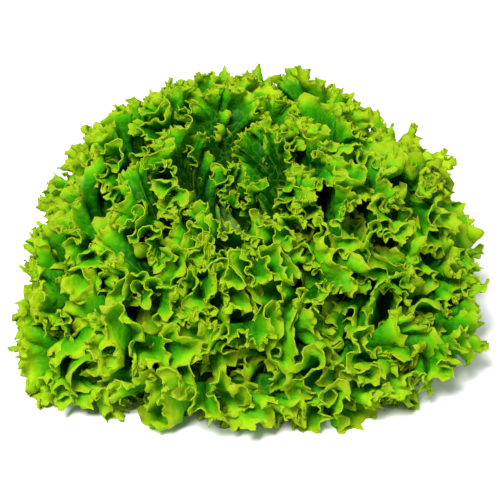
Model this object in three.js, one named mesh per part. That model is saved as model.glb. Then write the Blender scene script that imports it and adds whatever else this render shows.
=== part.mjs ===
// A head of loose, curly-leaved lettuce: one short cut stem that carries a spiral of frilled leaves.
//
// Millimetres, +Z up. The origin is the centre of the stem's cut face, which lies on the surface
// that the head rests on. -Y is the side that the heart leans to, and +Y the side that stands tallest.
//
// Every leaf is laid out in rosette coordinates (along, layer, azimuth). `along` runs from the leaf's
// foot on the stem, 0, to its tip, 1. `layer` runs from the upright heart, 0, to the outermost leaf
// that lies on the surface, 1. Leaves on different layers never cross, because the curves of
// constant layer fan out from the stem without meeting. Last, the rosette is settled as one: its heart
// leans, its front sinks and its lowest leaves splay, which keeps the leaves apart.
import * as THREE from "three";

// ---- Driving dimensions -------------------------------------------------------------------------
const LEAF_COUNT = 57;
const GOLDEN_ANGLE = Math.PI * (3 - Math.sqrt(5)); // turn from one leaf to the next up the stem
const FIRST_AZIMUTH = THREE.MathUtils.degToRad(22); // azimuth of the innermost leaf
const AZIMUTH_PLAY = 0.14; // how far a leaf may stand off its place in the spiral, in radians

const STEM_RADIUS = 15; // at the cut face
const STEM_HEIGHT = 48; // from the cut face to the growing point, which the heart leaves hide
const TRIMMED_EDGE = 1; // the small chamfer that trimming leaves round the cut face
const STEM_SIDES = 28;
const FOOT_CLEARANCE = 1.2; // from the stem's side to the middle of a leaf's thickness
const LOWEST_FOOT = 0.15; // the outermost and innermost leaves' places up the stem's side
const HIGHEST_FOOT = 0.97;

// The crown is the curve through the leaf tips, as (radius, height): from the heart, up over the
// shoulder, round the head's widest place and down to the surface.
const CROWN = [
  [0, 62],
  [30, 162],
  [172, 68],
  [101, 5],
].map(([radius, height]) => new THREE.Vector2(radius, height));

const HEART_LEAVING_ANGLE = 4; // from straight up, where the innermost midrib leaves the stem, in degrees
const LEAVING_TURN = 80; // how much further over the outermost one leaves, in degrees
const LEAVING_EASE = 0.8; // below 1, the leaves near the heart already lean out early
const ARRIVING_TURN = 92; // how far over the outermost midrib points at its tip, in degrees
const LEAVING_PULL = 0.4; // how stiffly a midrib keeps its first direction, as a share of its span
const ARRIVING_PULL = 0.3; // and its last

const LEAF_THICKNESS = 1.1; // an outer leaf's blade, with its frill's extra tissue spread over it
const HEART_THICKNESS = 0.6; // the innermost leaf's blade
const LEAF_HALF_WIDTH = 58; // the widest outer leaf, measured round the head
const HEART_HALF_WIDTH = 14; // the innermost leaf
const WIDENING = 0.7; // below 1, the leaves near the heart already widen early
const FULL_GROWN_LAYER = 0.8; // leaves beyond this layer are all fully grown
const LENGTH_PLAY = 0.14; // the share by which the shortest leaf falls short of the crown
const LENGTH_RHYTHM = 7.9; // steps of a sine from leaf to leaf, which stand in for chance, in radians
const AZIMUTH_RHYTHM = 5.3;
const FOOT_HALF_WIDTH = 8; // where an outer leaf clasps the stem
const HEART_FOOT_HALF_WIDTH = 2.5;
const FRILL_LAYERS = 0.4; // how many layers an outer leaf's margin swings to each side
const HEART_FRILL_LAYERS = 0.1;
const CLASP_RADIUS = 7; // keeps the innermost leaves from wrapping round the axis more than once

const TIP_VEIN = 0.84; // where along the midrib the last vein leaves for the tip
const MARGIN_STEPS = 20; // steps round a leaf's margin, four to each frill wave
const BLADE_STEPS = 4; // steps from the midrib to the margin
const HEART_LEAVES = 7; // the small tuft in the middle, whose leaves get fewer steps
const HEART_MARGIN_STEPS = 12;
const HEART_LAYERS = 0.1; // the layers that the tuft takes up
const FIRST_WALL_LAYER = 0.26; // the first layer beyond the hollow round the tuft

const HEAD_LEAN = THREE.MathUtils.degToRad(14); // the heart's lean towards -Y
const LEAN_HEIGHT = 50; // the lean comes on over this height
const LEAN_PIVOT = 20;
const FRONT_DROP = 0.16; // the share of its height that the front loses
const FRONT_REACH = 70; // over this distance from the axis
const CROWN_DRIFT = 16; // the crown stands this far to -X of the stem
const CROWN_HEIGHT = 110;
const BELT_HEIGHT = 36; // the head is widest from -X to +X at this height
const BELT_REACH = 54; // and narrows over this distance above and below it
const BELT_SPREAD = 0.105; // the share by which it is wider there
const TAPER = 0.3; // the share that it loses above and below
const CORNER_SPREAD = 0.095; // how far the lowest leaves splay out at the head's corners
const CORNER_HEIGHT = 90; // the splay fades out at this height
const CORNER_RADIUS = 80; // and comes on over this distance from the axis
const FRONT_SPLAY = 0.87; // the share by which the front corners splay more than the back ones
const LEFT_SPLAY = 0.95; // and the corners to -X more than those to +X
const SIDE_PULL = 0.11; // how far the sides between the corners draw in, as a share of the splay

// ---- The rosette --------------------------------------------------------------------------------
const mix = THREE.MathUtils.lerp;
const smooth = (x) => THREE.MathUtils.smoothstep(x, 0, 1);

/** The stem's side, from above the cut face to the growing point, as (radius, height). */
const stemSide = new THREE.CubicBezierCurve(
  new THREE.Vector2(STEM_RADIUS, TRIMMED_EDGE),
  new THREE.Vector2(STEM_RADIUS, 0.35 * STEM_HEIGHT),
  new THREE.Vector2(0.55 * STEM_RADIUS, 0.75 * STEM_HEIGHT),
  new THREE.Vector2(0, STEM_HEIGHT),
);

/** The stem's half outline, from the cut face's centre to the growing point. */
const stemOutline = () => [
  new THREE.Vector2(0, 0),
  new THREE.Vector2(STEM_RADIUS - TRIMMED_EDGE, 0),
  ...stemSide.getPoints(8),
];

/** Where the leaves of one layer meet the stem, a little clear of its side. */
function footPoint(layer) {
  const up = mix(HIGHEST_FOOT, LOWEST_FOOT, layer);
  const { x: dRadius, y: dHeight } = stemSide.getTangent(up);
  return stemSide.getPoint(up).addScaledVector(new THREE.Vector2(dHeight, -dRadius), FOOT_CLEARANCE);
}

/** Unit direction in the (radius, height) plane, at an angle from straight up, turning outwards. */
const direction = (fromUp) => new THREE.Vector2(Math.sin(fromUp), Math.cos(fromUp));

/** The midrib curve of the leaves on one layer, as (radius, height), from the stem to the crown. */
function midribCurve(layer) {
  const foot = footPoint(layer);
  const tip = new THREE.CubicBezierCurve(...CROWN).getPoint(layer);
  const span = foot.distanceTo(tip);
  const outer = Math.max(layer, 0);
  const footAngle = THREE.MathUtils.degToRad(HEART_LEAVING_ANGLE + LEAVING_TURN * outer ** LEAVING_EASE);
  const tipAngle = THREE.MathUtils.degToRad(ARRIVING_TURN * outer);
  const leaving = foot.clone().addScaledVector(direction(footAngle), LEAVING_PULL * span);
  const arriving = tip.clone().addScaledVector(direction(tipAngle), -ARRIVING_PULL * span);
  return new THREE.CubicBezierCurve(foot, leaving, arriving, tip);
}

/** How far out the lowest leaves stand at an azimuth: most at the corners, the front left above all. */
function cornerSpread({ x, y, z }) {
  const azimuth = Math.atan2(y, x);
  const corner = ((1 - Math.cos(4 * azimuth)) / 2) ** 2;
  const front = 1 - FRONT_SPLAY * Math.sin(azimuth);
  const share = corner * front * (1 - LEFT_SPLAY * Math.cos(azimuth)) - SIDE_PULL;
  const low = smooth(1 - z / CORNER_HEIGHT);
  return 1 + CORNER_SPREAD * share * low * smooth(Math.hypot(x, y) / CORNER_RADIUS);
}

/** Settles the upright rosette under its own weight: splayed corners, a leaning crown, a lower front. */
function settled(upright) {
  const spread = cornerSpread(upright);
  const belt = 1 + BELT_SPREAD - TAPER * smooth(Math.abs(upright.z - BELT_HEIGHT) / BELT_REACH);
  const [x, y0] = [upright.x * spread * belt, upright.y * spread];
  const turn = HEAD_LEAN * smooth(upright.z / LEAN_HEIGHT);
  const up = upright.z - LEAN_PIVOT;
  const y = y0 * Math.cos(turn) - up * Math.sin(turn);
  const z = LEAN_PIVOT + y0 * Math.sin(turn) + up * Math.cos(turn);
  const drift = CROWN_DRIFT * smooth(z / CROWN_HEIGHT);
  return new THREE.Vector3(x - drift, y, z * (1 - FRONT_DROP * smooth(-y / FRONT_REACH)));
}

/** One point of the rosette. `aside` is the distance from the midrib, measured round the head. */
function rosettePoint(along, layer, azimuth, aside) {
  const { x: radius, y: height } = midribCurve(layer).getPoint(along);
  const angle = azimuth + aside / Math.hypot(radius, CLASP_RADIUS);
  return settled(new THREE.Vector3(radius * Math.cos(angle), radius * Math.sin(angle), height));
}

// ---- One leaf -----------------------------------------------------------------------------------
/** The margin's right half as (aside, along), from the tip, 0, round the blade to the foot, 1. */
function marginPoint(round, halfWidth, footHalfWidth) {
  const blade = new THREE.CubicBezierCurve(
    new THREE.Vector2(0, 1),
    new THREE.Vector2(0.62 * halfWidth, 1),
    new THREE.Vector2(halfWidth, 0.88),
    new THREE.Vector2(halfWidth, 0.68),
  );
  const stalk = new THREE.CubicBezierCurve(
    new THREE.Vector2(halfWidth, 0.68),
    new THREE.Vector2(halfWidth, 0.45),
    new THREE.Vector2(footHalfWidth, 0.3),
    new THREE.Vector2(footHalfWidth, 0),
  );
  return round < 0.5 ? blade.getPoint(2 * round) : stalk.getPoint(2 * round - 1);
}

/** What sets one leaf apart: its layer, its azimuth and the sizes that follow from them. */
function leafPlan(index) {
  const inHeart = index < HEART_LEAVES;
  const wallPlace = (index - HEART_LEAVES) / (LEAF_COUNT - HEART_LEAVES - 0.5);
  const heartLayer = (HEART_LAYERS * (index + 0.5)) / HEART_LEAVES;
  const layer = inHeart ? heartLayer : mix(FIRST_WALL_LAYER, 1, wallPlace);
  const grown = smooth(layer / FULL_GROWN_LAYER); // 0 in the heart, 1 on a full-grown leaf
  const shortness = ((1 + Math.sin(LENGTH_RHYTHM * index + 1)) / 2) ** 2 * smooth(layer * 4);
  return {
    layer,
    azimuth: FIRST_AZIMUTH + index * GOLDEN_ANGLE + AZIMUTH_PLAY * Math.sin(AZIMUTH_RHYTHM * index),
    length: 1 - LENGTH_PLAY * shortness, // how much of its midrib curve the leaf takes up
    halfWidth: mix(HEART_HALF_WIDTH, LEAF_HALF_WIDTH, grown ** WIDENING),
    footHalfWidth: mix(HEART_FOOT_HALF_WIDTH, FOOT_HALF_WIDTH, grown),
    thickness: mix(HEART_THICKNESS, LEAF_THICKNESS, grown),
    frillLayers: mix(HEART_FRILL_LAYERS, FRILL_LAYERS, grown),
    marginSteps: inHeart ? HEART_MARGIN_STEPS : MARGIN_STEPS,
  };
}

/** The leaf's middle surface: a fan of veins from the midrib to the margin, on one indexed mesh. */
function middleSurface(plan) {
  const { layer, azimuth, length, halfWidth, footHalfWidth, frillLayers, marginSteps } = plan;
  const half = marginSteps / 2;
  const points = [];
  const midribIndex = (step) => Math.min(step, marginSteps - step);
  const index = (step, out) =>
    out === 0 ? midribIndex(step) : half + 1 + step * BLADE_STEPS + (out - 1);
  const place = (step, out) => {
    const round = Math.abs(step - half) / half;
    const side = Math.sign(step - half);
    const outward = out / BLADE_STEPS;
    const edge = marginPoint(round, halfWidth, footHalfWidth);
    const along = length * mix(TIP_VEIN * (1 - round), edge.y, outward);
    const aside = side * edge.x * outward;
    const wave = Math.sin((step * Math.PI) / 2) * smooth(outward) * smooth(4 * (1 - round));
    return rosettePoint(along, layer + (frillLayers * wave) / LEAF_COUNT, azimuth, aside);
  };
  for (let step = 0; step <= half; step++) points.push(place(step, 0));
  for (let step = 0; step <= marginSteps; step++) {
    for (let out = 1; out <= BLADE_STEPS; out++) points.push(place(step, out));
  }
  const faces = [];
  for (let step = 0; step < marginSteps; step++) {
    for (let out = 0; out < BLADE_STEPS; out++) {
      const [a, b] = [index(step, out), index(step + 1, out)];
      const [c, d] = [index(step + 1, out + 1), index(step, out + 1)];
      faces.push(a, b, c, a, c, d);
    }
  }
  const outline = [];
  for (let out = BLADE_STEPS; out > 0; out--) outline.push(index(marginSteps, out));
  for (let out = 0; out < BLADE_STEPS; out++) outline.push(index(0, out));
  for (let step = 0; step < marginSteps; step++) outline.push(index(step, BLADE_STEPS));
  return { points, faces, outline };
}

/** Thickens a middle surface into one closed shell: both sides and the rim between them. */
function leafShell({ points, faces, outline }, thickness) {
  const middle = new THREE.BufferGeometry().setFromPoints(points).setIndex(faces);
  middle.computeVertexNormals();
  const normals = middle.getAttribute("normal");
  const normal = new THREE.Vector3();
  const shifted = (point, i, offset) =>
    point.clone().addScaledVector(normal.fromBufferAttribute(normals, i), offset);
  const sheet = (offset) => points.map((point, i) => shifted(point, i, offset));
  const count = points.length;
  const index = [];
  for (let i = 0; i < faces.length; i += 3) {
    const [a, b, c] = faces.slice(i, i + 3);
    index.push(a, b, c, a + count, c + count, b + count);
  }
  outline.forEach((from, i) => {
    const to = outline[(i + 1) % outline.length];
    index.push(from, to, to + count, from, to + count, from + count);
  });
  const both = [...sheet(thickness / 2), ...sheet(-thickness / 2)];
  return new THREE.BufferGeometry().setFromPoints(both).setIndex(index);
}

// ---- Assembly -----------------------------------------------------------------------------------
const leafMaterial = new THREE.MeshStandardMaterial({ color: 0x7fb517, roughness: 0.5, metalness: 0 });
const heartMaterial = new THREE.MeshStandardMaterial({ color: 0xa5cc2c, roughness: 0.5, metalness: 0 });
const stemMaterial = new THREE.MeshStandardMaterial({ color: 0xdfe3b4, roughness: 0.6, metalness: 0 });

const lettuce = new THREE.Group();

/** The stem: a lathed stump, stood up along Z and leaned as the leaves are. */
function stemGeometry() {
  const geometry = new THREE.LatheGeometry(stemOutline(), STEM_SIDES).rotateX(Math.PI / 2);
  const position = geometry.getAttribute("position");
  for (let i = 0; i < position.count; i++) {
    position.setXYZ(i, ...settled(new THREE.Vector3().fromBufferAttribute(position, i)));
  }
  return geometry;
}

const stem = new THREE.Mesh(stemGeometry(), stemMaterial);
stem.name = "stem";
lettuce.add(stem);

for (let index = 0; index < LEAF_COUNT; index++) {
  const plan = leafPlan(index);
  const material = index < HEART_LEAVES ? heartMaterial : leafMaterial;
  const leaf = new THREE.Mesh(leafShell(middleSurface(plan), plan.thickness), material);
  leaf.name = `leaf_${String(LEAF_COUNT - index).padStart(2, "0")}`; // leaf_01 is the outermost
  lettuce.add(leaf);
}

export default lettuce;
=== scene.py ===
# %% [markdown]
# # A head of curly lettuce
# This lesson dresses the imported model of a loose, curly-leaved lettuce. The model holds the plain
# blades of its leaves and the cut stem, at their real places and sizes. Blender adds what makes the
# plant: the frill, the veins, the thin glossy tissue and the light that comes through it.
#
# The frame gives one object for each leaf and one for the stem. They stay where they are. Every
# detailed piece made here rides on the same body and stands in for the plain one of the same name.

import math
import bpy
import numpy as np
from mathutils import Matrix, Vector


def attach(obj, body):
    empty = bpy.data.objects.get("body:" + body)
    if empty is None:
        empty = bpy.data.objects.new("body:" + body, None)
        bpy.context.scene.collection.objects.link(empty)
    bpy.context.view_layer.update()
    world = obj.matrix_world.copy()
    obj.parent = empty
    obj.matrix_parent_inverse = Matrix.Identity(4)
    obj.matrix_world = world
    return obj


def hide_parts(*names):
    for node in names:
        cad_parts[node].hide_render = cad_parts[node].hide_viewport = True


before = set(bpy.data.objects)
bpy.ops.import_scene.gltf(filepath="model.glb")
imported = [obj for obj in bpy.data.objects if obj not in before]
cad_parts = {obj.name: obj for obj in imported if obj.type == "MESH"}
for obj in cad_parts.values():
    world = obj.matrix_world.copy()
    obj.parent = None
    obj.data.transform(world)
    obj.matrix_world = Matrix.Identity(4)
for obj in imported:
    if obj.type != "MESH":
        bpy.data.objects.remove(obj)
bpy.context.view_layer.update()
MM = 0.001

# %% [markdown]
# ## The camera
# The head is seen from the side that its heart leans to and from well above, as a cook sees it on a
# table. A wide lens close by would swell the front leaves. A long lens set back keeps the far leaves
# nearly as large as the near ones, so the round shape of the head stays true.

# %% Camera
CAMERA_ELEVATION = math.radians(31)
CAMERA_DISTANCE = 0.629
CAMERA_LENS = 87
CAMERA_TARGET = Vector((-0.0070, -0.012, 0.0392))


def place(data):
    """Puts some new data, such as a mesh, a lamp or a camera, in the scene as an object."""
    thing = bpy.data.objects.new(data.name, data)
    bpy.context.collection.objects.link(thing)
    return thing


camera = place(bpy.data.cameras.new("camera"))
away = Vector((0, -math.cos(CAMERA_ELEVATION), math.sin(CAMERA_ELEVATION)))
camera.location = CAMERA_TARGET + CAMERA_DISTANCE * away
camera.rotation_euler = (-away).to_track_quat("-Z", "Y").to_euler()
camera.data.lens = CAMERA_LENS
bpy.context.scene.camera = camera
print("the camera stands at", [round(x, 3) for x in camera.location])

# %% [markdown]
# ## The rosette
# A lettuce grows as a rosette: every leaf leaves the stem a little lower than the one inside it,
# turned by the golden angle, and the blades nest like the walls of a flower. Leaves could be copied
# and pushed about until they stop cutting through each other, but that takes a person days. Here each
# leaf has a place in three numbers: how far along its midrib, which layer of the head, and which way
# it faces. Curves of one layer fan out from the stem and never cross, so the leaves don't either.
# The model was laid out by this rule, and the same rule is repeated here, because the frill has to
# start from the very same blades.

# %% Driving sizes of the stem and the crown, in millimetres
STEM_RADIUS = 15  # at the cut face
STEM_HEIGHT = 48  # from the cut face to the growing point
TRIMMED_EDGE = 1  # the chamfer round the cut face
FOOT_CLEARANCE = 1.2  # from the stem's side to the middle of a leaf
LOWEST_FOOT = 0.15  # the outermost and innermost leaves' places up the stem's side
HIGHEST_FOOT = 0.97
# the curve through the leaf tips, as (radius, height): up from the heart and down to the table
CROWN = np.array([(0, 62), (30, 162), (172, 68), (101, 5)], float)
HEART_LEAVING_ANGLE = 4  # from straight up, where the innermost midrib leaves the stem, in degrees
LEAVING_TURN = 80  # how much further over the outermost one leaves, in degrees
LEAVING_EASE = 0.8  # below 1, the leaves near the heart already lean out early
ARRIVING_TURN = 92  # how far over the outermost midrib points at its tip, in degrees
LEAVING_PULL = 0.4  # how stiffly a midrib keeps its first direction, as a share of its span
ARRIVING_PULL = 0.3  # and its last


# %% Curves that work on whole arrays
def mix(a, b, share):
    return a + (b - a) * share


def smooth(x):
    x = np.clip(x, 0, 1)
    return x * x * (3 - 2 * x)


def bezier(p0, p1, p2, p3, t):
    t = np.asarray(t, float)[..., None]
    u = 1 - t
    return u**3 * p0 + 3 * u * u * t * p1 + 3 * u * t * t * p2 + t**3 * p3


def bezier_heading(p0, p1, p2, p3, t):
    t = np.asarray(t, float)[..., None]
    u = 1 - t
    heading = u * u * (p1 - p0) + 2 * u * t * (p2 - p1) + t * t * (p3 - p2)
    return heading / np.linalg.norm(heading, axis=-1, keepdims=True)


print("the crown's highest point is at", bezier(*CROWN, np.linspace(0, 1, 50))[:, 1].max().round(1), "mm")

# %% The stem's side and the midrib curve of a layer
STEM_SIDE = np.array([
    (STEM_RADIUS, TRIMMED_EDGE),
    (STEM_RADIUS, 0.35 * STEM_HEIGHT),
    (0.55 * STEM_RADIUS, 0.75 * STEM_HEIGHT),
    (0, STEM_HEIGHT),
], float)


def foot_point(layer):
    """(radius, height) where the leaves of a layer meet the stem, a little clear of its side."""
    up = mix(HIGHEST_FOOT, LOWEST_FOOT, layer)
    heading = bezier_heading(*STEM_SIDE, up)
    outward = np.stack([heading[..., 1], -heading[..., 0]], axis=-1)
    return bezier(*STEM_SIDE, up) + FOOT_CLEARANCE * outward


def direction(from_up):
    return np.stack([np.sin(from_up), np.cos(from_up)], axis=-1)


def midrib_point(along, layer):
    """(radius, height) at a share of the way up the midrib of a layer."""
    outer = np.maximum(layer, 0)
    foot = foot_point(layer)
    tip = bezier(*CROWN, layer)
    span = np.linalg.norm(tip - foot, axis=-1)[..., None]
    leaving_angle = HEART_LEAVING_ANGLE + LEAVING_TURN * outer**LEAVING_EASE
    leaving = foot + LEAVING_PULL * span * direction(np.radians(leaving_angle))
    arriving = tip - ARRIVING_PULL * span * direction(np.radians(ARRIVING_TURN * outer))
    return bezier(foot, leaving, arriving, tip, along)


print("the outermost leaf's midrib, halfway up:", midrib_point(0.5, 1.0).round(1), "mm")

# %% [markdown]
# ## A head that has settled
# A perfect rosette looks like a machine made it. A real head leans, sinks at the front, and splays
# at the corners where its lowest leaves lie on the table. Moving leaves one by one would make them
# collide. One smooth bend of the whole space moves them all and keeps them apart.

# %% How the head settles, in millimetres
HEAD_LEAN = math.radians(14)  # the heart's lean towards the camera's side
LEAN_HEIGHT = 50
LEAN_PIVOT = 20
FRONT_DROP = 0.16  # the share of its height that the front loses
FRONT_REACH = 70
CROWN_DRIFT = 16  # the crown stands this far to one side of the stem
CROWN_HEIGHT = 110
BELT_HEIGHT = 36  # the head is widest here, and narrows above and below
BELT_REACH = 54
BELT_SPREAD = 0.105
TAPER = 0.3
CORNER_SPREAD = 0.095  # the splay of the lowest leaves
CORNER_HEIGHT = 90
CORNER_RADIUS = 80
FRONT_SPLAY = 0.87
LEFT_SPLAY = 0.95
SIDE_PULL = 0.11


def settled(x, y, z):
    """Sets the upright rosette down: splayed corners, a leaning crown and a lower front."""
    azimuth = np.arctan2(y, x)
    corner = ((1 - np.cos(4 * azimuth)) / 2) ** 2
    share = corner * (1 - FRONT_SPLAY * np.sin(azimuth)) * (1 - LEFT_SPLAY * np.cos(azimuth)) - SIDE_PULL
    low_and_out = smooth(1 - z / CORNER_HEIGHT) * smooth(np.hypot(x, y) / CORNER_RADIUS)
    spread = 1 + CORNER_SPREAD * share * low_and_out
    belt = 1 + BELT_SPREAD - TAPER * smooth(np.abs(z - BELT_HEIGHT) / BELT_REACH)
    x, y = x * spread * belt, y * spread
    turn = HEAD_LEAN * smooth(z / LEAN_HEIGHT)
    up = z - LEAN_PIVOT
    y, z = y * np.cos(turn) - up * np.sin(turn), LEAN_PIVOT + y * np.sin(turn) + up * np.cos(turn)
    drift = CROWN_DRIFT * smooth(z / CROWN_HEIGHT)
    return np.stack([x - drift, y, z * (1 - FRONT_DROP * smooth(-y / FRONT_REACH))], axis=-1)


# %% From a place in the rosette to a place in the room
CLASP_RADIUS = 7  # keeps the innermost leaves from wrapping right round the axis


def rosette_point(along, layer, azimuth, aside):
    radius, height = np.moveaxis(midrib_point(along, layer), -1, 0)
    angle = azimuth + aside / np.hypot(radius, CLASP_RADIUS)
    return settled(radius * np.cos(angle), radius * np.sin(angle), height)


print("the growing point settles at", settled(0.0, 0.0, float(STEM_HEIGHT)).round(1), "mm")

# %% [markdown]
# ## What sets one leaf apart
# The leaves of a head are all one leaf at different ages. The seven in the heart are small, narrow
# and upright. Towards the outside they widen, and the oldest lie on the table. So one number, the
# leaf's place in the spiral, is enough to work out all its sizes. The sines stand in for chance: they
# vary the lengths and angles a little, and give the same plant each time.

# %% One leaf's plan
LEAF_COUNT = sum(name.startswith("leaf_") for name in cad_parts)
GOLDEN_ANGLE = math.pi * (3 - math.sqrt(5))
FIRST_AZIMUTH = math.radians(22)
AZIMUTH_PLAY = 0.14  # how far a leaf may stand off its place in the spiral, in radians
AZIMUTH_RHYTHM = 5.3  # the sine's step from leaf to leaf, in radians
LENGTH_PLAY = 0.14  # the share by which the shortest leaf falls short of the crown
LENGTH_RHYTHM = 7.9
HEART_LEAVES = 7
HEART_LAYERS = 0.1
FIRST_WALL_LAYER = 0.26  # the first layer beyond the hollow round the heart
FULL_GROWN_LAYER = 0.8  # leaves beyond this layer are all fully grown
HEART_HALF_WIDTH = 14
LEAF_HALF_WIDTH = 58
WIDENING = 0.7  # below 1, the leaves near the heart already widen early
HEART_FOOT_HALF_WIDTH = 2.5
FOOT_HALF_WIDTH = 8
HEART_SWELL = 0.2  # how many layers a margin swings to each side
LEAF_SWELL = 1.2


def leaf_plan(index):
    """Sizes of the leaf at this place down the stem, 0 being the innermost."""
    in_heart = index < HEART_LEAVES
    wall_place = (index - HEART_LEAVES) / (LEAF_COUNT - HEART_LEAVES - 0.5)
    heart_layer = HEART_LAYERS * (index + 0.5) / HEART_LEAVES
    layer = heart_layer if in_heart else mix(FIRST_WALL_LAYER, 1, wall_place)
    grown = float(smooth(layer / FULL_GROWN_LAYER))
    shortness = (0.5 + 0.5 * math.sin(LENGTH_RHYTHM * index + 1)) ** 2 * float(smooth(layer * 4))
    return {
        "index": index,
        "in_heart": in_heart,
        "node": f"leaf_{LEAF_COUNT - index:02d}",
        "layer": layer,
        "grown": grown,  # 0 in the heart, 1 on a full-grown leaf
        "azimuth": FIRST_AZIMUTH + index * GOLDEN_ANGLE + AZIMUTH_PLAY * math.sin(AZIMUTH_RHYTHM * index),
        "length": 1 - LENGTH_PLAY * shortness,
        "half_width": mix(HEART_HALF_WIDTH, LEAF_HALF_WIDTH, grown**WIDENING),
        "foot_half_width": mix(HEART_FOOT_HALF_WIDTH, FOOT_HALF_WIDTH, grown),
        "swell_layers": mix(HEART_SWELL, LEAF_SWELL, grown),
        "swells": 3 if in_heart else 5,  # to each side of the tip
    }


plans = [leaf_plan(index) for index in range(LEAF_COUNT)]
print("leaves:", LEAF_COUNT, "of which in the heart:", sum(plan["in_heart"] for plan in plans))

# %% [markdown]
# ## One leaf as a fan
# The side veins of a lettuce leaf leave the midrib and fan out to the margin. A square grid bent into
# a leaf would fold across its veins. A mesh whose lines run as the veins do folds where the leaf
# folds. The margin needs a vertex every third of a millimetre, and the middle of the blade one every
# few millimetres, so the fan halves its steps three times on the way in, with triangles at each change.

# %% The rows of the fan, from the midrib to the margin
# how far in from the margin each row lies, and how many of the margin's steps it takes at a time
ROW_REACH = np.array([1, .80, .62, .47, .37, .29, .225, .175, .135, .102, .074, .052, .034, .019, .008, 0])
ROW_STRIDE = [8] * 3 + [4] * 3 + [2] * 4 + [1] * 6


def fan_vertices(columns):
    """Column, row and the neighbours along the row of each vertex, and a grid of vertex numbers."""
    half = columns // 2
    ids = np.full((len(ROW_STRIDE), columns + 1), -1)
    parts = []
    count = 0
    for k, stride in enumerate(ROW_STRIDE):
        at = np.arange(0, (half if k == 0 else columns) + 1, stride)
        own = count + np.arange(len(at))
        ids[k, at] = own
        parts.append((at, np.full(len(at), k), np.append(own[1:], own[-1]), np.append(own[0], own[:-1])))
        count += len(at)
    ids[0, half:] = ids[0, half::-1]  # both halves of the blade share the midrib
    return [np.concatenate(part) for part in zip(*parts)], ids


def fan_faces(columns, ids):
    faces = []
    for k in range(len(ROW_STRIDE) - 1):
        wide, fine = ROW_STRIDE[k], ROW_STRIDE[k + 1]
        c = np.arange(0, columns, wide)
        d, m = c + wide, c + fine
        inner, outer = ids[k], ids[k + 1]
        cells = [(inner[c], inner[d], outer[d], outer[c])]
        if wide != fine:
            split = (inner[c], inner[d], outer[m])
            cells = [split, (inner[c], outer[m], outer[c]), (inner[d], outer[d], outer[m])]
        for cell in cells:
            faces += np.stack(cell, axis=1).tolist()
    return faces


print("faces in a fan of 1056 steps:", len(fan_faces(1056, fan_vertices(1056)[1])))

# %% The outline of a blade, laid flat
TIP_VEIN = 0.84  # where along the midrib the last vein leaves for the tip
CLEFTS = 9  # the shallow clefts between a grown leaf's lobes
CLEFT_DEPTH = 0.22  # as a share of the blade's width
CLEFT_NARROWNESS = 3  # the higher, the narrower a cleft
CLEFT_PLAY = 2.1  # how far a cleft may stand off its even place, in radians
CLEFT_RHYTHM = 2.3
CLEFT_STEP = 5  # sets each leaf's clefts off from those of the next leaf, in radians


def margin_point(round_share, half_width, foot_half_width):
    """(aside, along) round half a margin, from 0 at the tip to 1 at the foot."""
    blade = np.array([(0, 1), (0.62 * half_width, 1), (half_width, 0.88), (half_width, 0.68)])
    stalk = np.array([(half_width, 0.68), (half_width, 0.45), (foot_half_width, 0.3), (foot_half_width, 0)])
    upper = bezier(*blade, np.clip(2 * round_share, 0, 1))
    lower = bezier(*stalk, np.clip(2 * round_share - 1, 0, 1))
    return np.where((round_share < 0.5)[..., None], upper, lower)


def cleft(plan, signed_round):
    """How far the margin draws in between two lobes, as a share of the blade's width."""
    shift = CLEFT_PLAY * np.sin(CLEFT_RHYTHM * signed_round + plan["index"]) + CLEFT_STEP * plan["index"]
    narrow = (0.5 + 0.5 * np.cos(CLEFTS * math.pi * signed_round + shift)) ** CLEFT_NARROWNESS
    return CLEFT_DEPTH * plan["grown"] * narrow * smooth(3 * (1 - np.abs(signed_round)))


def blade_point(plan, signed_round, outward):
    """A point of the plain blade: round the margin from -1 to 1, and outward from the midrib."""
    round_share = np.abs(signed_round)
    edge = margin_point(round_share, plan["half_width"], plan["foot_half_width"])
    outward = outward * (1 - cleft(plan, signed_round))
    along = plan["length"] * mix(TIP_VEIN * (1 - round_share), edge[..., 1], outward)
    aside = np.sign(signed_round) * edge[..., 0] * outward
    swell = np.sin(plan["swells"] * math.pi * (1 + signed_round))
    wave = swell * smooth(outward) * smooth(4 * (1 - round_share))  # calm at the midrib and the foot
    layer = plan["layer"] + plan["swell_layers"] * wave / LEAF_COUNT
    return rosette_point(along, layer, plan["azimuth"], aside)


# %% Even steps round the margin
FINE_STEPS = 800


def even_rounds(plan, columns):
    """Margin shares that stand the same distance apart, and the margin's length in millimetres."""
    fine = np.linspace(-1, 1, FINE_STEPS + 1)
    line = blade_point(plan, fine, np.ones_like(fine))
    run = np.concatenate([[0], np.cumsum(np.linalg.norm(np.diff(line, axis=0), axis=1))])
    right = np.interp(np.linspace(run[FINE_STEPS // 2], run[-1], columns // 2 + 1), run, fine)
    return np.concatenate([-right[:0:-1], right]), run[-1]


print("margin of the outermost leaf before it frills:", round(even_rounds(plans[-1], 1056)[1]), "mm")

# %% [markdown]
# ## Nodes from expressions
# Both the frill and the finishes are worked out by nodes. Placing them one by one hides the formula,
# so a small class wraps a socket and lets Python's own operators add the maths nodes. Any other node
# comes from one method that takes its type, its settings and its sockets' values or links.

# %% A socket that can stand in a formula
def operator(operation, reflected=False):
    """A Python operator that adds a Math node."""

    def apply(self, other):
        terms = (other, self) if reflected else (self, other)
        return self.nodes.maths(operation, *terms)

    return apply


class Wire:
    def __init__(self, nodes, socket):
        self.nodes = nodes
        self.socket = socket

    __add__ = operator("ADD")
    __radd__ = operator("ADD", reflected=True)
    __sub__ = operator("SUBTRACT")
    __rsub__ = operator("SUBTRACT", reflected=True)
    __mul__ = operator("MULTIPLY")
    __rmul__ = operator("MULTIPLY", reflected=True)
    __truediv__ = operator("DIVIDE")
    __rtruediv__ = operator("DIVIDE", reflected=True)
    __pow__ = operator("POWER")


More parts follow.
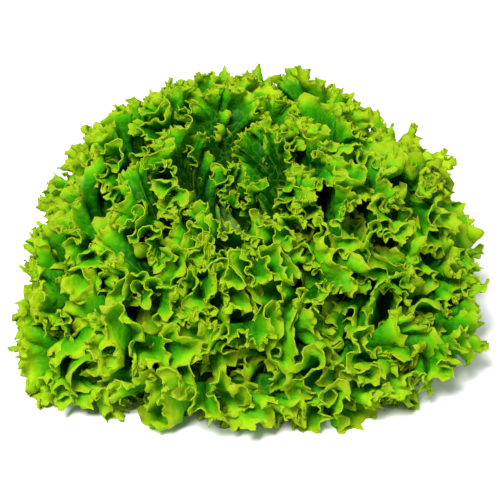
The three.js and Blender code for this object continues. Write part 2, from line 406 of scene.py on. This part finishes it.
# %% A node tree that takes formulas
class Nodes:
    def __init__(self, tree):
        self.tree = tree

    def add(self, kind, settings=None, sockets=None, output=0):
        """Adds a node. Settings come first, then its sockets' values or links."""
        node = self.tree.nodes.new(kind)
        settings = dict(settings or {})
        stops = settings.pop("stops", ())
        for name, value in settings.items():
            setattr(node, name, value)
        while stops and len(node.color_ramp.elements) < len(stops):
            node.color_ramp.elements.new(1)
        for stop, (position, colour) in enumerate(stops):
            node.color_ramp.elements[stop].position = position
            node.color_ramp.elements[stop].color = (*colour, 1)
        for name, value in (sockets or {}).items():
            self.fill(self.find(node.inputs, name), value)
        return Wire(self, self.find(node.outputs, output))

    def find(self, sockets, name):
        """A socket by its place among those in use, or by its name."""
        in_use = [socket for socket in sockets if socket.enabled]
        if isinstance(name, int):
            return in_use[name]
        return next(socket for socket in in_use if name in (socket.identifier, socket.name))

    def fill(self, socket, value):
        if isinstance(value, Wire):
            self.tree.links.new(value.socket, socket)
        else:
            socket.default_value = value

    def maths(self, operation, *terms, clamp=False):
        """A Math node, or a Vector Math node when a term is a vector."""
        is_vector = any(isinstance(term, Wire) and term.socket.type == "VECTOR" for term in terms)
        node = self.tree.nodes.new("ShaderNodeVectorMath" if is_vector else "ShaderNodeMath")
        node.operation = operation
        if clamp:
            node.use_clamp = True
        for socket, term in zip(node.inputs, terms):
            is_number = isinstance(term, (int, float))
            self.fill(socket, (term,) * 3 if is_vector and is_number else term)
        return Wire(self, self.find(node.outputs, 0))

    def clamped(self, value):
        return self.maths("ADD", value, 0, clamp=True)

    def noise(self, where, scale, detail=2, dimensions="3D"):
        """A noise value from 0 to 1."""
        coordinate = "W" if dimensions == "1D" else "Vector"
        return self.add("ShaderNodeTexNoise", {"noise_dimensions": dimensions},
                        {coordinate: where, "Scale": scale, "Detail": detail}, "Fac")


# %% [markdown]
# ## The frill
# Curly lettuce frills because its margin grows faster than the blade behind it. The extra length can
# only go into folds, and the folds carry smaller folds, down to the teeth. Modelling each fold by
# hand is hopeless, and a plain sine looks like corrugated card. A river's meander packs much more
# length into the same space: its bends swing past a right angle and turn into loops. So Geometry
# Nodes fold the fan that way, first in broad folds and then in ruffles, each time along the normals
# of the sheet as it has become. Then they cut the teeth, raise the blisters between the veins, and
# hold the lowest leaves on the table.

# %% One set of folds, as a meander
TURN = 2 * math.pi


def meander(g, swing, length, phase):
    """How far a meander of this swing, in radians, stands aside of and ahead of its straight line."""
    # the first terms of the Bessel functions that a curve with a sine for its heading adds up to
    s2 = swing * swing
    j0 = 1 - s2 / 4 + s2 * s2 / 64 - s2 * s2 * s2 / 2304
    j1 = swing * (0.5 - s2 / 16 + s2 * s2 / 384 - s2 * s2 * s2 / 18432)
    j2 = s2 * (0.125 - s2 / 96 + s2 * s2 / 3072)
    aside = length * j1 / (math.pi * j0) * g.maths("COSINE", phase)
    ahead = length * j2 / (TURN * j0) * g.maths("SINE", 2 * phase)
    return aside, ahead


# %% What the nodes read from the sheet
def attribute(g, name, data_type="FLOAT"):
    return g.add("GeometryNodeInputNamedAttribute", {"data_type": data_type}, {"Name": name})


def surface_frame(g):
    """The sheet's normal, the way along its row and the way outward, where it now stands."""
    position = g.add("GeometryNodeInputPosition")
    ahead, behind = (
        g.add("GeometryNodeFieldAtIndex", {"data_type": "FLOAT_VECTOR", "domain": "POINT"},
              {"Value": position, "Index": attribute(g, name, "INT")})
        for name in ("ahead", "behind")
    )
    along = g.maths("NORMALIZE", ahead - behind)
    normal = g.add("GeometryNodeInputNormal")
    return normal, along, g.maths("NORMALIZE", g.maths("CROSS_PRODUCT", normal, along))


def moved(g, mesh, offset):
    return g.add("GeometryNodeSetPosition", None, {"Geometry": mesh, "Offset": offset})


def near_margin(g, inward, reach):
    """1 at the margin, fading to 0 at this distance from it."""
    return g.maths("SUBTRACT", 1, inward / reach, clamp=True)


def uneven(g, margin, size, length, rhythm, detail=0):
    """Noise round the margin. A rhythm is its rate per fold, its step from leaf to leaf and its start."""
    rate, leaf_step, start = rhythm
    return g.noise(margin["round"] / length * rate + size["Seed"] * leaf_step + start, 1, detail, "1D")


# %% Broad folds
MOST_FOLD_SWING = 1.9  # beyond about 2 radians a meander's loops cut through each other
FADE = 0.8  # below 1, the folds and ruffles stay deep a good way in from the margin
FOLD_DRIFT = 7  # the range over which folds crowd together or draw apart, in radians
FOLD_DRIFT_RHYTHM = (0.6, 2.9, 11)
FOLD_DEPTHS = (0.35, 1.65)  # the shallowest and the deepest, as shares of a leaf's swing
FOLD_DEPTH_RHYTHM = (0.7, 4.3, 60)


def broad_folds(g, mesh, margin, size):
    length = size["Fold length"]
    drift = uneven(g, margin, size, length, FOLD_DRIFT_RHYTHM, detail=1) - 0.5
    depth = mix(*FOLD_DEPTHS, uneven(g, margin, size, length, FOLD_DEPTH_RHYTHM))
    edge = near_margin(g, margin["inward"], size["Fold reach"])
    swing = g.maths("MINIMUM", size["Fold swing"] * depth * margin["free"] * edge**FADE, MOST_FOLD_SWING)
    aside, ahead = meander(g, swing, length, TURN * margin["round"] / length + FOLD_DRIFT * drift)
    normal, along, _ = surface_frame(g)
    return moved(g, mesh, normal * aside + along * ahead)


# %% Ruffles on the folds, uneven in length and in depth
MOST_RUFFLE_SWING = 1.95
RUFFLE_DRIFT = 9
RUFFLE_DRIFT_RHYTHM = (0.55, 7.3, 0)
RUFFLE_DEPTHS = (0.65, 1.45)
RUFFLE_DEPTH_RHYTHM = (0.8, 5.1, 40)


def ruffles(g, mesh, margin, size):
    length = size["Ruffle length"]
    drift = uneven(g, margin, size, length, RUFFLE_DRIFT_RHYTHM, detail=1) - 0.5
    depth = mix(*RUFFLE_DEPTHS, uneven(g, margin, size, length, RUFFLE_DEPTH_RHYTHM))
    phase = TURN * margin["round"] / length + RUFFLE_DRIFT * drift
    edge = near_margin(g, margin["inward"], size["Ruffle reach"])
    swing = g.maths("MINIMUM", size["Ruffle swing"] * depth * margin["free"] * edge**FADE, MOST_RUFFLE_SWING)
    aside, ahead = meander(g, swing, length, phase)
    lobe = size["Lobe length"] * g.maths("COSINE", 2 * phase) * edge * edge * margin["free"]
    normal, along, outward = surface_frame(g)
    return moved(g, mesh, normal * aside + along * ahead + outward * lobe)


# %% Teeth: sharp points with hollow edges between them, turned up and down by turns
TOOTH_FOOT = 0.35  # this share of a tooth is cut into the margin, and the rest stands out of it
TOOTH_STRETCHES = (0.5, 1.6)  # the shortest and the longest, as shares of a leaf's tooth length
TOOTH_STRETCH_RHYTHM = (3, 3.7, 80)
TOOTH_TURN = 4.5  # the range of slopes from a tooth that points down to one that points up
TOOTH_TURN_RHYTHM = (1.3, 8.9, 120)


def teeth(g, mesh, margin, size):
    length = size["Ruffle length"]
    half_phase = math.pi * attribute(g, "tooth")
    stretch = mix(*TOOTH_STRETCHES, uneven(g, margin, size, length, TOOTH_STRETCH_RHYTHM))
    turned = TOOTH_TURN * (uneven(g, margin, size, length, TOOTH_TURN_RHYTHM) - 0.5)
    tip = near_margin(g, margin["inward"], size["Tooth reach"])
    point = 1 - g.maths("ABSOLUTE", g.maths("SINE", half_phase))
    tooth = size["Tooth length"] * stretch * (point - TOOTH_FOOT) * tip * tip * margin["free"]
    curl = size["Tooth curl"] * stretch * g.maths("COSINE", half_phase) * tip * margin["free"]
    normal, _, outward = surface_frame(g)
    return moved(g, mesh, normal * (curl + tooth * turned) + outward * tooth)


# %% Blisters between the veins, and nothing lower than the table
BLISTERS_PER_METRE = 160


def blisters(g, mesh, margin, size):
    swelling = g.noise(g.add("GeometryNodeInputPosition"), BLISTERS_PER_METRE, 2) - 0.5
    normal = g.add("GeometryNodeInputNormal")
    return moved(g, mesh, normal * (swelling * size["Blister height"] * margin["free"]))


def on_the_table(g, mesh, size):
    position = g.add("GeometryNodeInputPosition")
    height = g.add("ShaderNodeSeparateXYZ", None, {"Vector": position}, "Z")
    lift = g.maths("MAXIMUM", size["Lowest point"] - height, 0)
    return moved(g, mesh, g.add("ShaderNodeCombineXYZ", None, {"Z": lift}))


# %% The frill's node tree
# sizes in metres and swings in radians, for a leaf of middling age
FRILL_SIZES = {
    "Fold length": 0.020, "Fold swing": 1.7, "Fold reach": 0.034,
    "Ruffle length": 0.0058, "Ruffle swing": 1.7, "Ruffle reach": 0.017, "Lobe length": 0.0010,
    "Tooth length": 0.0014, "Tooth curl": 0.0010, "Tooth reach": 0.0036,
    "Blister height": 0.0050, "Lowest point": 0.0003, "Seed": 0.0,
}


def frill_tree():
    tree = bpy.data.node_groups.new("Frilled leaf", "GeometryNodeTree")
    tree.interface.new_socket(name="Leaf", in_out="INPUT", socket_type="NodeSocketGeometry")
    for name in FRILL_SIZES:
        tree.interface.new_socket(name=name, in_out="INPUT", socket_type="NodeSocketFloat")
    tree.interface.new_socket(name="Tissue", in_out="INPUT", socket_type="NodeSocketMaterial")
    tree.interface.new_socket(name="Leaf", in_out="OUTPUT", socket_type="NodeSocketGeometry")
    g = Nodes(tree)
    entry = tree.nodes.new("NodeGroupInput")
    size = {socket.name: Wire(g, socket) for socket in entry.outputs if socket.name}
    margin = {name: attribute(g, name) for name in ("round", "inward", "free")}
    mesh = broad_folds(g, size["Leaf"], margin, size)
    mesh = ruffles(g, mesh, margin, size)
    mesh = teeth(g, mesh, margin, size)
    mesh = blisters(g, mesh, margin, size)
    mesh = on_the_table(g, mesh, size)
    mesh = g.add("GeometryNodeRealizeInstances", None, {"Geometry": mesh})
    mesh = g.add("GeometryNodeSetMaterial", None, {"Geometry": mesh, "Material": size["Tissue"]})
    leave = tree.nodes.new("NodeGroupOutput")
    tree.links.new(mesh.socket, leave.inputs[0])
    return tree


frill = frill_tree()
print("nodes in the frill tree:", len(frill.nodes))

# %% [markdown]
# ## The leaf's tissue
# A lettuce leaf is a thin wet film. It shines softly, and light that falls on its back comes out of
# its front as a warmer, yellower green. Subsurface scattering would suit a thick leaf, but in tissue
# this thin it only costs noise. So the finish is a soft gloss mixed with a translucent shader.
#
# The colour follows the sheet and not the room: it reads the distance from the margin that each
# vertex was given. The margin is a thin pale line, partly the leaf's own paler edge and partly a
# painted glow that stands in for the light coming through the thin edge. The frill behind it is lime,
# and the blade turns dark green towards the midrib: that darkening is painted shade, standing in for
# the shade that falls deep among the leaves, and it comes on sooner in the small heart leaves. A net
# of fine creases and the side veins lie over that. The midrib is pale at the foot, and here and there
# the tip of a tooth has dried brown.

# %% A new material
def new_material(name):
    material = bpy.data.materials.new(name)
    material.use_nodes = True
    material.node_tree.nodes.clear()
    return material, Nodes(material.node_tree)


def blend(s, share, under, over):
    """Lays one colour over another by a share from 0 to 1."""
    over = over if isinstance(over, Wire) else (*over, 1)
    return s.add("ShaderNodeMix", {"data_type": "RGBA"},
                 {"Factor_Float": share, "A_Color": under, "B_Color": over}, "Result_Color")


def show(s, shader):
    """Makes a shader the material's surface."""
    output = s.tree.nodes.new("ShaderNodeOutputMaterial")
    s.tree.links.new(shader.socket, output.inputs["Surface"])


# %% The green of a blade, from the lime margin to a middle darkened by painted shade
# the lime margin is the leaf's own colour; the darker stops towards the midrib are painted shade for the
# shade deep among the leaves
BLADE_GREENS_AND_SHADE = [
    (0.00, (0.60, 0.64, 0.015)),
    (0.04, (0.36, 0.54, 0.006)),
    (0.12, (0.12, 0.41, 0.003)),
    (0.26, (0.026, 0.25, 0.0015)),
    (0.50, (0.005, 0.11, 0.001)),
    (1.00, (0.002, 0.05, 0.001)),
]
PATCHES_PER_METRE = 45
PATCH_STRENGTH = 0.25
BROAD_PATCHES_PER_METRE = 13
BROAD_PATCH_STRENGTH = 0.35


def blade_green_and_shade(s, where, depth):
    patches = PATCH_STRENGTH * (s.noise(where, PATCHES_PER_METRE, 3) - 0.5)
    patches = patches + BROAD_PATCH_STRENGTH * (s.noise(where, BROAD_PATCHES_PER_METRE, 1) - 0.5)
    patched = depth + patches * s.clamped(6 * depth)  # the margin itself stays even
    # the ramp darkens with depth: painted shade towards the midrib
    return s.add("ShaderNodeValToRGB", {"stops": BLADE_GREENS_AND_SHADE}, {"Fac": patched})


# %% Creases, side veins and the midrib
VEIN_SPACING = 0.014  # round the margin, in metres
VEIN_SWAY = 5  # how unevenly the veins are spaced, in radians
SWAYS_PER_METRE = 90
VEIN_SHARPNESS = 7
VEINS_FROM = 0.15  # the depth at which the veins begin
CREASE_GREEN = (0.22, 0.50, 0.01)
VEIN_GREEN = (0.20, 0.46, 0.02)
MIDRIB_GREEN = (0.34, 0.54, 0.07)
MIDRIB_WIDTHS = (0.0008, 0.0053)  # half the midrib's width at the tip and at the foot, in metres
FOOT_GREEN = (0.40, 0.58, 0.11)
FOOT_FROM = 0.8  # the pale foot starts this far round the margin


def side_veins(s, round_margin, depth):
    sway = VEIN_SWAY * (s.noise(round_margin * SWAYS_PER_METRE, 1, 0, "1D") - 0.5)
    between = s.maths("ABSOLUTE", s.maths("SINE", round_margin * (math.pi / VEIN_SPACING) + sway))
    return s.clamped(1 - VEIN_SHARPNESS * between) * s.clamped(2 * (depth - VEINS_FROM))


def with_veins(s, colour, crease, veins, from_midrib, along):
    colour = blend(s, 0.18 * s.clamped(1 - 8 * crease), colour, CREASE_GREEN)
    colour = blend(s, 0.4 * veins, colour, VEIN_GREEN)
    midrib = s.clamped(1 - from_midrib / mix(*MIDRIB_WIDTHS, along * along))
    foot = s.clamped(6 * (along - FOOT_FROM))
    colour = blend(s, midrib * (0.08 + 0.6 * foot), colour, MIDRIB_GREEN)
    return blend(s, 0.8 * foot, colour, FOOT_GREEN)


# %% The pale rim with its painted glow, and the browned tips, in metres
RIM_WIDTH = 0.0012
RIM_STRENGTH = 0.6
TIP_WIDTH = 0.0022
# the rim's pale green is partly the margin's own colour and partly a painted glow for the light coming
# through the thin edge
LIT_RIM_GREEN = (0.62, 0.67, 0.035)
TIP_BROWN = (0.22, 0.11, 0.02)
SPECKS_PER_METRE = 55
SPECK_RARITY = 0.69  # only noise above this browns a tip


def with_rim(s, colour, where, inward):
    # paints the rim paler: partly its own colour, partly a painted glow of the light through the edge
    colour = blend(s, RIM_STRENGTH * s.clamped(1 - inward / RIM_WIDTH), colour, LIT_RIM_GREEN)
    rare = s.clamped(25 * (s.noise(where, SPECKS_PER_METRE, 2) - SPECK_RARITY))
    return blend(s, 0.8 * rare * s.clamped(1 - inward / TIP_WIDTH), colour, TIP_BROWN)


# %% Leaf tissue
CREASES_PER_METRE = 210
GRAIN_PER_METRE = 420
GLOW_GREEN = (0.13, 0.64, 0.003)
BLADE_GLOW = 0.26  # the share of the light that comes through the middle of a blade
MARGIN_GLOW = 0.64
GLOWING_EDGE = 0.003  # the glow fades from the margin's to the blade's over this width


def leaf_tissue():
    material, s = new_material("leaf_tissue")
    where = s.add("ShaderNodeTexCoord", None, None, "Object")
    fan = s.add("ShaderNodeUVMap", {"uv_map": "fan"})
    round_margin, inward = (s.add("ShaderNodeSeparateXYZ", None, {"Vector": fan}, axis) for axis in "XY")
    depth, from_midrib, along = (
        s.add("ShaderNodeAttribute", {"attribute_name": name}, None, "Fac")
        for name in ("depth", "from_midrib", "along")
    )
    crease = 2 * s.maths("ABSOLUTE", s.noise(where, CREASES_PER_METRE, 1) - 0.5)
    veins = side_veins(s, round_margin, depth)
    colour = with_veins(s, blade_green_and_shade(s, where, depth), crease, veins, from_midrib, along)
    colour = with_rim(s, colour, where, inward)
    relief = 0.6 * crease + 0.5 * s.noise(where, GRAIN_PER_METRE, 1) - 0.25 * veins
    bump = s.add("ShaderNodeBump", None, {"Strength": 0.6, "Distance": 0.0014, "Height": relief})
    gloss = s.add("ShaderNodeBsdfPrincipled", None, {
        "Base Color": colour, "Roughness": 0.42, "IOR": 1.4, "Specular IOR Level": 0.05, "Normal": bump,
    })
    glow = s.add("ShaderNodeBsdfTranslucent", None, {"Color": (*GLOW_GREEN, 1)})
    thinness = mix(BLADE_GLOW, MARGIN_GLOW, s.clamped(1 - inward / GLOWING_EDGE))
    show(s, s.add("ShaderNodeMixShader", None, {"Fac": thinness, "Shader": gloss, "Shader_001": glow}))
    return material


tissue = leaf_tissue()
print("nodes in the leaf tissue:", len(tissue.node_tree.nodes))

# %% [markdown]
# ## Making the leaves
# Each leaf starts as an open sheet that knows three things at every vertex: how far round the margin
# it lies, how far in from it, and who its neighbours are. The frill nodes read those. Solidify then
# gives the folded sheet its thickness, thinner at the margin than at the midrib, and closes it. The
# result is taken as a plain mesh, so nothing is left to work out when the piece is used elsewhere.

# %% What each vertex of a sheet knows
# the depths at which the blade's painted shade is darkest; it comes sooner in the heart, standing in for the
# shaded hollow
HEART_SHADE_DEPTH = 10  # how far in from its margin the innermost blade is darkest, in millimetres
LEAF_SHADE_DEPTH = 42
STEADY_FOOT = 12  # the margin doesn't frill over this length from the foot
FRILL_ONSET = 40  # and frills fully after this much more
STEPS_PER_TOOTH = 3.5


def sheet_values(plan, columns, column, row, rounds, margin_length, grid):
    steps = np.linalg.norm(np.diff(grid[::-1], axis=0), axis=2)
    inward = np.concatenate([np.zeros((1, columns + 1)), np.cumsum(steps, axis=0)])[::-1]
    round_mm = np.linspace(0, margin_length, columns + 1)
    from_foot = np.minimum(round_mm, margin_length - round_mm)
    shade_depth = mix(HEART_SHADE_DEPTH, LEAF_SHADE_DEPTH, plan["grown"])
    return {
        "round": round_mm[column] * MM,
        "inward": inward[row, column] * MM,
        "from_midrib": (inward[0] - inward)[row, column] * MM,
        # depth drives the painted shade of the blade's colour, which is darkest at 1
        "depth": inward[row, column] / shade_depth,  # 1 where the blade is darkest
        "along": np.abs(rounds[column]),  # 0 at the tip, 1 at the foot
        "free": smooth((from_foot[column] - STEADY_FOOT) / FRILL_ONSET),  # 0 where nothing frills
        "tooth": column / STEPS_PER_TOOTH,  # counts the teeth
    }


# %% Reading and mapping a mesh
EDGE_STRIP = 0.02  # the cut edge takes this much of the map above and below its middle
MOST_INWARD = 0.48  # and the midrib lies this far from the middle


def read(items, name):
    """One whole-number property of every corner or face, as an array."""
    found = np.empty(len(items), np.int32)
    items.foreach_get(name, found)
    return found


def add_fan_map(mesh, columns, column, row, values):
    """Each face's place on the fan. The right half counts the midrib's steps from the right."""
    corner = read(mesh.loops, "vertex_index")
    outer_column = np.where(row > 0, column, 0)[corner]
    on_right = np.maximum.reduceat(outer_column, read(mesh.polygons, "loop_start")) > columns // 2
    from_right = np.repeat(on_right, read(mesh.polygons, "loop_total")) & (row[corner] == 0)
    fan_round = values["round"][corner]
    fan_round = np.where(from_right, values["round"].max() - fan_round, fan_round)
    fan = mesh.uv_layers.new(name="fan")
    fan.uv.foreach_set("vector", np.stack([fan_round, values["inward"][corner]], axis=1).ravel())


def add_skin_map(mesh, sheet_size, values):
    """A map of the whole skin: its face below, its back above, and the cut edge between them."""
    corner = read(mesh.loops, "vertex_index")
    found = np.empty(2 * len(corner), np.float32)
    mesh.uv_layers["fan"].uv.foreach_get("vector", found)
    fan_round, inward = found.reshape(-1, 2).T
    from_edge = mix(EDGE_STRIP, MOST_INWARD, inward / values["inward"].max())
    up = np.where(corner < sheet_size, 0.5 - from_edge, 0.5 + from_edge)
    skin = np.stack([fan_round / values["round"].max(), up], axis=1)
    mesh.uv_layers.new(name="OFBake").uv.foreach_set("vector", skin.astype(np.float32).ravel())


# %% The plain blade as an open sheet
STEP_BLOCK = 16  # each half of the margin has a whole number of the fan's widest steps
HEART_BLOCKS = 30
LEAF_BLOCKS = 66


def leaf_sheet(plan):
    columns = STEP_BLOCK * round(mix(HEART_BLOCKS, LEAF_BLOCKS, plan["grown"]))
    rounds, margin_length = even_rounds(plan, columns)
    (column, row, ahead, behind), ids = fan_vertices(columns)
    grid = blade_point(plan, *np.broadcast_arrays(rounds[None, :], 1 - ROW_REACH[:, None]))
    mesh = bpy.data.meshes.new(plan["node"] + "_sheet")
    mesh.from_pydata(grid[row, column] * MM, [], fan_faces(columns, ids))
    values = sheet_values(plan, columns, column, row, rounds, margin_length, grid)
    for name, value in values.items():
        mesh.attributes.new(name, "FLOAT", "POINT").data.foreach_set("value", value)
    for name, value in (("ahead", ahead), ("behind", behind)):
        mesh.attributes.new(name, "INT", "POINT").data.foreach_set("value", value.astype(np.int32))
    add_fan_map(mesh, columns, column, row, values)
    mesh.shade_smooth()
    return mesh, values


# %% The two modifiers of a leaf
WALL_THICKNESS = 1.6 * MM  # at the midrib's foot
MARGIN_THICKNESS = 0.28  # as a share of that
THICK_FROM = 0.05  # the foot is fully thick this far in from the margin, in metres
RUFFLE_NAMES = ("Ruffle length", "Ruffle reach", "Lobe length", "Tooth length", "Tooth curl", "Tooth reach")
# the innermost and the full-grown leaf's sizes, as shares of the ones for middling age
FOLD_LENGTHS = (0.45, 1.25)
FOLD_REACHES = (0.35, 1)
RUFFLE_SHARES = (0.55, 1.5)
HEART_REACH = 0.55  # the heart's ruffles stay this much flatter, and leave the hollow open
HOLLOW_LAYERS = 0.5


def frill_sizes(plan):
    """An old leaf has longer folds and larger teeth than a young one."""
    sizes = dict(FRILL_SIZES, Seed=1.0 + plan["index"])
    sizes["Fold length"] *= mix(*FOLD_LENGTHS, plan["grown"])
    sizes["Fold reach"] *= mix(*FOLD_REACHES, plan["grown"])
    for name in RUFFLE_NAMES:
        sizes[name] *= mix(*RUFFLE_SHARES, plan["grown"] ** 3)
    sizes["Ruffle reach"] *= mix(HEART_REACH, 1, smooth(plan["layer"] / HOLLOW_LAYERS))
    return sizes


def add_frill(sheet, plan):
    modifier = sheet.modifiers.new("frill", "NODES")
    modifier.node_group = frill
    sockets = {item.name: item.identifier for item in frill.interface.items_tree if item.in_out == "INPUT"}
    for name, value in frill_sizes(plan).items():
        modifier[sockets[name]] = value
    modifier[sockets["Tissue"]] = tissue


def add_thickness(sheet, values):
    group = sheet.vertex_groups.new(name="thickness")
    towards_foot = smooth(values["inward"] / THICK_FROM) * values["along"]
    weights = np.round(mix(MARGIN_THICKNESS, 1.0, towards_foot), 2)
    for weight in np.unique(weights):
        group.add(np.flatnonzero(weights == weight).tolist(), float(weight), "REPLACE")
    modifier = sheet.modifiers.new("wall", "SOLIDIFY")
    modifier.thickness = WALL_THICKNESS
    modifier.offset = 0
    modifier.vertex_group = "thickness"
    modifier.thickness_vertex_group = 0


# %% Every leaf of the head
SHARP_FOLD = math.radians(75)  # only folds sharper than this aren't shaded smooth


def make_leaf(plan):
    mesh, values = leaf_sheet(plan)
    sheet = place(mesh)
    add_frill(sheet, plan)
    add_thickness(sheet, values)
    bpy.context.view_layer.update()
    skin = bpy.data.meshes.new_from_object(sheet.evaluated_get(bpy.context.evaluated_depsgraph_get()))
    skin.name = "frilled_" + plan["node"]
    skin.set_sharp_from_angle(angle=SHARP_FOLD)
    add_skin_map(skin, len(mesh.vertices), values)
    bpy.data.objects.remove(sheet)
    bpy.data.meshes.remove(mesh)
    leaf = place(skin)
    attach(leaf, "root")
    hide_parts(plan["node"])
    return leaf


leaves = [make_leaf(plan) for plan in plans]
triangles = [sum(len(face.vertices) - 2 for face in leaf.data.polygons) for leaf in leaves]
print("triangles in all the leaves:", sum(triangles), "and in the largest:", max(triangles))

# %% [markdown]
# ## The cut stem
# Under the leaves stands a short stump, sliced square across when the head was picked. A plain cone
# would pass at a glance, but the underside is where a buyer looks to see how fresh a lettuce is. So
# the stump is turned from the same side curve as the model's, with a low ridge where each leaf grew
# out. Its cut face has dried a little hollow and is browned towards the edge, with the ring of
# bundles that carried water to the leaves.

# %% The stump as a turned surface
STUMP_TURNS = 120
SIDE_ROWS = 56
FACE_ROWS = 18
FACE_HOLLOW = 0.5  # how far the middle of the cut face has shrunk in
SCAR_HEIGHT = 0.4  # a leaf's ridge on the side
SCAR_WIDTH = 6  # round the stem
SCAR_THICKNESS = 1.3  # up the stem
SHARP_EDGE = math.radians(40)


def stump_outline():
    """(radius, height) from the middle of the cut face, out to its edge and up to the growing point."""
    face_radius = np.linspace(0, STEM_RADIUS - TRIMMED_EDGE, FACE_ROWS)
    hollow = FACE_HOLLOW * (1 - smooth(face_radius / (STEM_RADIUS - TRIMMED_EDGE)))
    side = bezier(*STEM_SIDE, np.linspace(0, 1, SIDE_ROWS))
    return np.concatenate([np.stack([face_radius, hollow], axis=1), side])


def scars(radius, height, azimuth):
    """How far the leaves' ridges stand out of the side."""
    ridge = np.zeros(np.broadcast(radius, azimuth).shape)
    for plan in plans:
        _, foot_height = foot_point(plan["layer"])
        turned = (azimuth - plan["azimuth"] + math.pi) % TURN - math.pi
        off_centre = ((height - foot_height) / SCAR_THICKNESS) ** 2 + (radius * turned / SCAR_WIDTH) ** 2
        ridge += np.exp(-off_centre)
    return SCAR_HEIGHT * np.minimum(ridge, 1)


def stump_mesh():
    outline = stump_outline()
    radius, height = outline[1:-1, 0, None], outline[1:-1, 1, None]
    azimuth = np.linspace(0, TURN, STUMP_TURNS, endpoint=False)[None, :]
    radius = radius + np.where(height > TRIMMED_EDGE, scars(radius, height, azimuth), 0)
    rings = settled(radius * np.cos(azimuth), radius * np.sin(azimuth), height + 0 * azimuth)
    ends = [settled(0.0, 0.0, float(outline[k, 1])) for k in (0, -1)]
    first, last = rings.shape[0] * STUMP_TURNS, rings.shape[0] * STUMP_TURNS + 1
    here = np.arange(STUMP_TURNS)
    after = (here + 1) % STUMP_TURNS
    faces = [(first, b, a) for a, b in zip(here, after)]
    for k in range(rings.shape[0] - 1):
        low, high = k * STUMP_TURNS, (k + 1) * STUMP_TURNS
        faces += [(low + a, low + b, high + b, high + a) for a, b in zip(here, after)]
    top = (rings.shape[0] - 1) * STUMP_TURNS
    faces += [(top + a, top + b, last) for a, b in zip(here, after)]
    points = np.concatenate([rings.reshape(-1, 3), ends]) * MM
    mesh = bpy.data.meshes.new("cut_stem")
    mesh.from_pydata(points, [], [tuple(map(int, face)) for face in faces])
    mesh.shade_smooth()
    mesh.set_sharp_from_angle(angle=SHARP_EDGE)
    return mesh


# %% The stem's flesh, in metres
CUT_HEIGHT = 0.0008  # the cut face lies below this height
CUT_FADE = 0.0003
GREENED_HEIGHT = 0.03  # the side has turned from pale to green here
BUNDLE_RING = 0.0105
BUNDLE_WIDTH = 0.0013
BROWNED_FROM = 0.0112
BROWNED_OVER = 0.0025
FLESH = (0.60, 0.66, 0.34)
UPPER_FLESH = (0.36, 0.56, 0.12)
PITH = (0.66, 0.62, 0.40)
BUNDLE_TAN = (0.34, 0.24, 0.09)
EDGE_BROWN = (0.25, 0.11, 0.03)
FIBRES_PER_METRE = 900
STAINS_PER_METRE = 260
DOTS_PER_METRE = 1100


def stem_flesh():
    material, s = new_material("stem_flesh")
    where = s.add("ShaderNodeTexCoord", None, None, "Object")
    x, y, height = (s.add("ShaderNodeSeparateXYZ", None, {"Vector": where}, axis) for axis in "XYZ")
    radius = (x * x + y * y) ** 0.5
    on_cut = s.clamped((CUT_HEIGHT - height) / CUT_FADE)
    fibres = s.noise(s.maths("MULTIPLY", where, (1, 1, 0.12)), FIBRES_PER_METRE, 3)
    stains = s.noise(where, STAINS_PER_METRE, 3)
    side = blend(s, s.clamped(height / GREENED_HEIGHT), (*FLESH, 1), UPPER_FLESH)
    side = blend(s, 0.35 * fibres, side, UPPER_FLESH)
    bundles = s.clamped(1 - s.maths("ABSOLUTE", radius - BUNDLE_RING) / BUNDLE_WIDTH)
    dots = s.clamped(8 * (s.noise(where, DOTS_PER_METRE, 0) - 0.5))
    browned = s.clamped((radius - BROWNED_FROM) / BROWNED_OVER) * (0.4 + 0.9 * stains)
    cut = blend(s, 0.5 * stains, (*PITH, 1), FLESH)
    cut = blend(s, bundles * (0.35 + 0.6 * dots), cut, BUNDLE_TAN)
    cut = blend(s, s.clamped(browned + 1.6 * (stains - 0.58)), cut, EDGE_BROWN)
    relief = fibres + on_cut * bundles * dots
    bump = s.add("ShaderNodeBump", None, {"Strength": 0.5, "Distance": 0.0004, "Height": relief})
    show(s, s.add("ShaderNodeBsdfPrincipled", None, {
        "Base Color": blend(s, on_cut, side, cut), "Roughness": 0.45 + 0.3 * on_cut, "Normal": bump,
    }))
    return material


# %% The stem's piece
stump = place(stump_mesh())
stump.data.materials.append(stem_flesh())
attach(stump, "root")
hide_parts("stem")

# %% [markdown]
# ## The table and the light
# A lettuce has no hard edges to catch a lamp. A small light would throw a thousand black shadows into
# the frill. A broad soft one from above the camera models it gently, and a weaker one from behind
# shines through the thin margins and draws their pale outline. The world fills the gaps with white.

# %% The table
TABLE_HALF = 3.0
TABLE_GREY = (0.9, 0.9, 0.9, 1)
corners = [(-1, -1), (1, -1), (1, 1), (-1, 1)]
table_mesh = bpy.data.meshes.new("table")
table_mesh.from_pydata([(TABLE_HALF * x, TABLE_HALF * y, 0) for x, y in corners], [], [(0, 1, 2, 3)])
table = place(table_mesh)
paint, s = new_material("table_paint")
show(s, s.add("ShaderNodeBsdfPrincipled", None, {"Base Color": TABLE_GREY, "Roughness": 0.9}))
table_mesh.materials.append(paint)

# %% The light
LIT_POINT = Vector((0, 0, 0.04))


def soft_light(name, position, size, power):
    lamp = bpy.data.lights.new(name, "AREA")
    lamp.size = size
    lamp.energy = power
    light = place(lamp)
    light.location = position
    light.rotation_euler = (light.location - LIT_POINT).to_track_quat("Z", "Y").to_euler()


soft_light("key", (-0.35, -0.6, 1.1), size=0.5, power=32)
soft_light("fill", (0.8, -0.5, 0.7), size=0.9, power=4)
soft_light("back", (0.2, 0.9, 0.8), size=0.8, power=6)
world = bpy.data.worlds.new("studio")
world.use_nodes = True
world.node_tree.nodes["Background"].inputs["Color"].default_value = (1, 1, 1, 1)
world.node_tree.nodes["Background"].inputs["Strength"].default_value = 0.16
bpy.context.scene.world = world
bpy.context.scene.view_settings.view_transform = "Standard"
